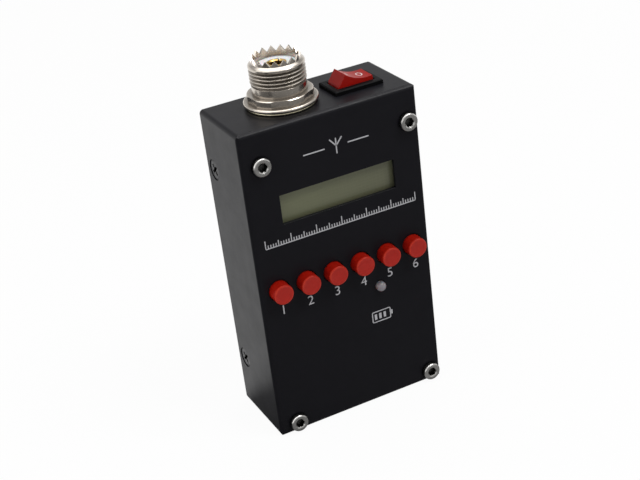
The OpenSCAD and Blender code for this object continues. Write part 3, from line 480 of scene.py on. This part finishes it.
def add_aerial_sign(x, z):
    """Plain circuit sign of an aerial, between two short rules."""
    bm = bmesh.new()
    top = z + SIGN_H / 2
    reach = SIGN_H * SIGN_ARM
    add_stroke(bm, [(x, z - SIGN_H / 2), (x, top)], SIGN_LINE)
    add_stroke(bm, [(x - reach, top), (x, z)], SIGN_LINE)
    add_stroke(bm, [(x + reach, top), (x, z)], SIGN_LINE)
    for side in (-1, 1):
        add_stroke(bm, [(x + side * SIGN_RULE_FROM, z), (x + side * SIGN_RULE_TO, z)], SIGN_LINE)
    add_print(bm, "aerial_sign")


RULE_SHIFT = -0.2 * MM
RULE_DROP = 10.2 * MM  # from the display's middle down to the rule
RULE_W = 48 * MM
RULE_PARTS = 60
RULE_LINE = 0.3 * MM
TICKS = ((10, 2.6 * MM), (5, 1.8 * MM), (1, 1.1 * MM))  # every so many parts, and height


def add_scale_rule(x, z):
    """Plain graduated rule: long, middle and short ticks on a line."""
    bm = bmesh.new()
    add_stroke(bm, [(x - RULE_W / 2, z), (x + RULE_W / 2, z)], RULE_LINE)
    for i in range(RULE_PARTS + 1):
        tall = next(height for every, height in TICKS if i % every == 0)
        at = x - RULE_W / 2 + RULE_W * i / RULE_PARTS
        add_stroke(bm, [(at, z + RULE_LINE / 2), (at, z + tall)], RULE_LINE)
    add_print(bm, "scale_rule")


CELL_SHIFT = -0.6 * MM
CELL_DROP = 9.9 * MM   # from the lamp down to the battery sign
CELL_LINE = 0.32 * MM
CELL_X, CELL_Z = 2.6 * MM, 1.3 * MM  # from the sign's middle to a corner's middle
CELL_CORNER = 0.4 * MM
NUB_OUT, NUB_Z, NUB_W = 0.9 * MM, 0.7 * MM, 0.5 * MM
BARS = 3
BAR_FROM, BAR_STEP, BAR_Z, BAR_W = -1.9 * MM, 1.5 * MM, 0.9 * MM, 0.8 * MM


def add_cell_sign(x, z):
    """Plain battery sign under the charge lamp."""
    bm = bmesh.new()
    corners = ((1, 1), (-1, 1), (-1, -1), (1, -1))
    outline = [p for i, (right, up) in enumerate(corners)
               for p in arc(x + right * CELL_X, z + up * CELL_Z, CELL_CORNER,
                            90 * i, 90 * (i + 1), steps=4)]
    add_stroke(bm, outline, CELL_LINE, closed=True)
    nub_x = x + CELL_X + NUB_OUT
    add_stroke(bm, [(nub_x, z - NUB_Z), (nub_x, z + NUB_Z)], NUB_W)
    for i in range(BARS):
        at = x + BAR_FROM + i * BAR_STEP
        add_stroke(bm, [(at, z - BAR_Z), (at, z + BAR_Z)], BAR_W)
    add_print(bm, "cell_sign")


for number in range(1, BUTTONS + 1):
    add_numeral(number)
display = middle_of("lcd_glass")
lamp = middle_of("charge_lamp")
add_aerial_sign(display.x + SIGN_SHIFT, display.z + SIGN_RISE)
add_scale_rule(display.x + RULE_SHIFT, display.z - RULE_DROP)
add_cell_sign(lamp.x + CELL_SHIFT, lamp.z - CELL_DROP)


# ---------------------------------------------------------------- rocker marks

rocker_joint = next(joint for joint in frame["joints"] if joint["child"] == "rocker")
PIVOT = Vector(rocker_joint["pos_m"])
TILT = math.radians(rocker_joint["range_deg"][1] / 2)  # at rest
RIDGE_X, RIDGE_Z = 4.3 * MM, 4.3 * MM  # from the pivot to a ridge, along and up
SAG = 0.9 * MM                         # depth of the hollow between the ridges
HOLLOW_R = (RIDGE_X ** 2 + SAG ** 2) / (2 * SAG)
MARK_T = 0.03 * MM
MARK_LINE = 0.3 * MM
MARK_LEVELS = (MARK_T, -INK_SINK)
OFF_X = 1.9 * MM
OFF_ALONG, OFF_ACROSS, OFF_STEPS = 0.8 * MM, 1.15 * MM, 40
ON_X = -2.3 * MM
ON_ACROSS, ON_STEPS = 0.95 * MM, 6


def on_rocker(x, y, lift):
    """A point on the rocker's hollow face, x along it and y across it, lifted by lift."""
    height = RIDGE_Z - SAG + HOLLOW_R - math.sqrt(HOLLOW_R ** 2 - x ** 2)
    return PIVOT + Matrix.Rotation(TILT, 3, "Y") @ Vector((x, y, height + lift))


def add_mark(bm, name):
    add_piece(name, mesh_from(bm, name), MARK_WHITE, "rocker")


def add_off_mark():
    """An oval ring laid on the hollow face."""
    bm = bmesh.new()
    rows = []
    for i in range(OFF_STEPS):
        turn = 2 * math.pi * i / OFF_STEPS
        rows.append([bm.verts.new(on_rocker(OFF_X + (OFF_ALONG + grow) * math.cos(turn),
                                            (OFF_ACROSS + grow) * math.sin(turn), lift))
                     for grow in (-MARK_LINE / 2, MARK_LINE / 2) for lift in MARK_LEVELS])
    add_band(bm, rows, closed=True)
    add_mark(bm, "off_mark")


def add_on_mark():
    """A bar laid across the hollow face."""
    bm = bmesh.new()
    sides = (ON_X - MARK_LINE / 2, ON_X + MARK_LINE / 2)
    ys = (-ON_ACROSS + 2 * ON_ACROSS * i / ON_STEPS for i in range(ON_STEPS + 1))
    add_band(bm, [[bm.verts.new(on_rocker(x, y, lift)) for x in sides for lift in MARK_LEVELS]
                  for y in ys])
    add_mark(bm, "on_mark")


add_off_mark()
add_on_mark()


# ---------------------------------------------------------------- studio

def add_ramp(tree, stops, factor):
    """A grey ramp with (position, value) stops."""
    ramp = add_node(tree, "ShaderNodeValToRGB", {"Fac": factor})
    marks = ramp.color_ramp.elements
    marks[0].position, marks[1].position = stops[0][0], stops[-1][0]
    for position, _ in stops[1:-1]:
        marks.new(position)
    for mark, (_, value) in zip(marks, stops):
        mark.color = (value, value, value, 1)
    return ramp.outputs["Color"]


# Brightness of the floor round the object in reflections, by degrees from +X:
# white behind, grey in front, and a darker stretch at each side.
FLOOR_ROUND = ((-180, 0.15), (-162, 0.1), (-155, 0.03), (-148, 0.2), (-90, 0.24), (-30, 0.26),
               (-22, 0.08), (8, 0.1), (20, 0.9), (60, 1.0), (148, 1.0), (160, 0.2), (180, 0.15))
FLOOR_GLOW = 0.95  # share of plain white that the camera sees; the rest keeps the shadow
FLOOR_HALF = 3.0
FLOOR_DROP = 0.02 * MM
FLOOR_WHITE = (0.9, 0.9, 0.9, 1)
FLOOR_ROUGHNESS = 0.9


def add_floor():
    """White floor that keeps the object's soft shadow."""
    bm = bmesh.new()
    bmesh.ops.create_grid(bm, x_segments=2, y_segments=2, size=FLOOR_HALF)
    mesh = mesh_from(bm, "floor")
    mesh.transform(Matrix.Translation((0, 0, -FLOOR_DROP)))
    material = bpy.data.materials.new("floor")
    material.use_nodes = True
    tree = material.node_tree
    diffuse = tree.nodes["Principled BSDF"]
    diffuse.inputs["Base Color"].default_value = FLOOR_WHITE
    diffuse.inputs["Roughness"].default_value = FLOOR_ROUGHNESS
    place = add_node(tree, "ShaderNodeTexCoord").outputs["Object"]
    around = add_node(tree, "ShaderNodeTexGradient", {"Vector": place}, gradient_type="RADIAL")
    stops = [(degrees / 360 + 0.5, value) for degrees, value in FLOOR_ROUND]
    grey = add_ramp(tree, stops, around.outputs["Fac"])
    path = add_node(tree, "ShaderNodeLightPath").outputs
    colour = add_node(tree, "ShaderNodeMix", {
        "Factor": path["Is Glossy Ray"], "A": WHITE, "B": grey}, data_type="RGBA")
    glow = add_node(tree, "ShaderNodeEmission", {"Color": colour.outputs["Result"]})
    for_camera = add_node(tree, "ShaderNodeMath", {0: path["Is Camera Ray"], 1: FLOOR_GLOW},
                          operation="MULTIPLY")
    share = add_node(tree, "ShaderNodeMath", {0: for_camera.outputs[0], 1: path["Is Glossy Ray"]},
                     operation="MAXIMUM")
    mix = add_node(tree, "ShaderNodeMixShader", {
        0: share.outputs[0], 1: diffuse.outputs[0], 2: glow.outputs[0]})
    feed(tree, tree.nodes["Material Output"].inputs["Surface"], mix.outputs[0])
    mesh.materials.append(material)
    floor = bpy.data.objects.new("floor", mesh)
    bpy.context.scene.collection.objects.link(floor)


# Brightness of the room in reflections, from straight down (0) to straight up (1)
ROOM_UP = ((0.0, 0.36), (0.45, 0.4), (0.58, 0.36), (0.7, 0.2), (0.82, 0.14), (0.9, 0.9),
           (1.0, 1.0))
ROOM_GLOW = 2.5
SOFT_LIGHT = 0.4
PLAIN_WHITE = 1.0


def make_world():
    """White for the camera, a banded white room for gloss, plain grey light else."""
    world = bpy.data.worlds.new("studio")
    bpy.context.scene.world = world
    world.use_nodes = True
    tree = world.node_tree
    tree.nodes.clear()

    def background(strength, colour=WHITE):
        made = add_node(tree, "ShaderNodeBackground", {"Color": colour, "Strength": strength})
        return made.outputs[0]

    def blend(share, a, b):
        return add_node(tree, "ShaderNodeMixShader", {0: share, 1: a, 2: b}).outputs[0]

    path = add_node(tree, "ShaderNodeLightPath").outputs
    way = add_node(tree, "ShaderNodeTexCoord").outputs["Generated"]
    up = add_node(tree, "ShaderNodeSeparateXYZ", {0: way}).outputs["Z"]
    lift = add_node(tree, "ShaderNodeMapRange", {"From Min": -1.0, "Value": up})
    bands = add_ramp(tree, ROOM_UP, lift.outputs["Result"])
    seen = add_node(tree, "ShaderNodeMath", {
        0: path["Is Camera Ray"], 1: path["Is Transmission Ray"]}, operation="MAXIMUM")
    unseen = blend(path["Is Glossy Ray"], background(SOFT_LIGHT), background(ROOM_GLOW, bands))
    surface = blend(seen.outputs[0], unseen, background(PLAIN_WHITE))
    add_node(tree, "ShaderNodeOutputWorld", {"Surface": surface})


MIDDLE = Vector((0, 0, 0.06))  # what the soft boxes aim at

# Name, place, width and height in metres, and power in watts
SOFTBOXES = (
    ("left_box", (-0.75, -0.05, 0.35), 0.9, 0.9, 2.3),
    ("key_box", (0.3, -0.38, 0.75), 0.35, 0.3, 3.2),
    ("top_box", (0.1, 0.3, 0.9), 0.5, 0.3, 1.2),
)


def add_softbox(name, place, width, height, power):
    data = bpy.data.lights.new(name, "AREA")
    data.shape = "RECTANGLE"
    data.size, data.size_y = width, height
    data.energy = power
    light = bpy.data.objects.new(name, data)
    turn = (MIDDLE - Vector(place)).to_track_quat("-Z", "Y")
    light.matrix_world = Matrix.Translation(place) @ turn.to_matrix().to_4x4()
    bpy.context.scene.collection.objects.link(light)


add_floor()
make_world()
for softbox in SOFTBOXES:
    add_softbox(*softbox)
